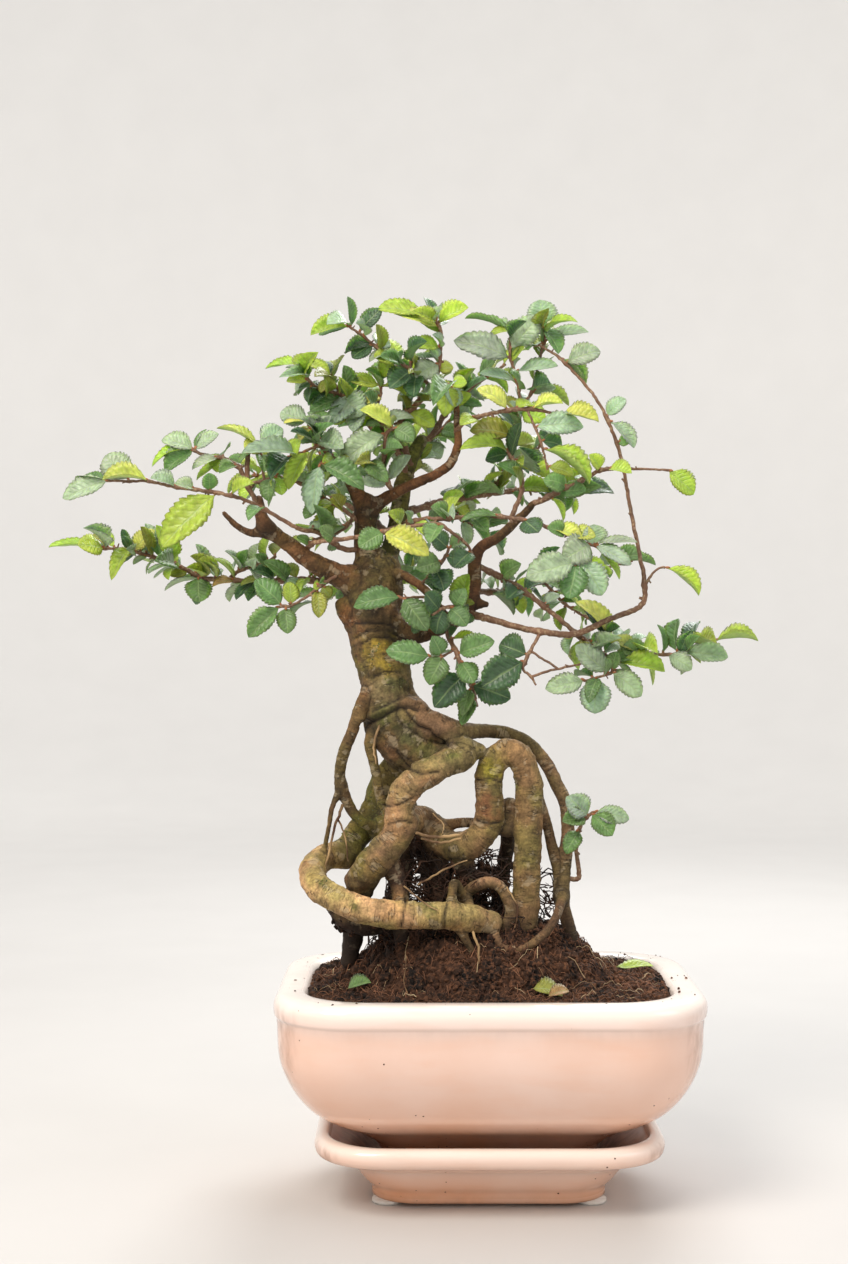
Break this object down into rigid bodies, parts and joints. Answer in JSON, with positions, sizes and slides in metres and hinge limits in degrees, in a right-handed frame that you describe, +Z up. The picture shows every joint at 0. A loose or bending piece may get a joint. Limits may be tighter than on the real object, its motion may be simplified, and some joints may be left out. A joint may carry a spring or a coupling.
{
  "type": "bonsai tree",
  "caption": "Small elm bonsai with bared, looping roots and an open leafy crown, in a rounded rectangular glazed pot on a matching drip tray with feet.",
  "frame": {"origin": "under the middle of the whole object's box, on the surface that the tray's pads stand on", "axes": "+Z up, +X to the right as seen from the front, +Y away from the viewer"},
  "size_m": [0.2576, 0.131, 0.3214],
  "materials": {
    "leaves": "satin leaf, toothed, pale to dark green with some yellow",
    "fallen_leaves": "dropped leaves, dull yellow-green",
    "bark": "rough grey-brown bark with moss",
    "soil": "loose fibrous peat, dark brown, matt",
    "glaze": "glossy cream-pink glaze with sparse specks",
    "pads": "matt white",
    "drain_mesh": "matt black"
  },
  "bodies": {
    "root": {"low_left_branch": "leaves", "hanging_left_twig": "leaves", "long_left_branch": "leaves", "upper_left_branch": "leaves", "middle_left_branch": "leaves", "low_inner_left_twig": "leaves", "inner_front_branch": "leaves", "crown_left_branch": "leaves", "far_upper_left_branch": "leaves", "arching_branch": "leaves", "top_right_branch": "leaves", "hooked_branch": "leaves", "long_right_branch": "leaves", "right_cluster_branch": "leaves", "low_right_branch": "leaves", "low_centre_twig": "leaves", "trunk_front_twig": "leaves", "crossing_branch": "leaves", "inner_right_twigs": "leaves", "inner_low_twigs": "leaves", "root_shoot": "leaves", "back_left_branch": "leaves", "back_centre_branch": "leaves", "back_right_branch": "leaves", "crown_back_branch": "leaves", "low_back_branch": "leaves", "low_right_back_branch": "leaves", "fallen_leaf_1": "fallen_leaves", "fallen_leaf_2": "fallen_leaves", "fallen_leaf_3": "fallen_leaves", "fallen_leaf_4": "fallen_leaves", "trunk_and_roots": "bark", "soil": "soil", "pot": "glaze", "tray": "glaze", "pad_1": "pads", "pad_2": "pads", "pad_3": "pads", "pad_4": "pads", "drain_mesh_1": "drain_mesh", "drain_mesh_2": "drain_mesh"}
  },
  "joints": []
}
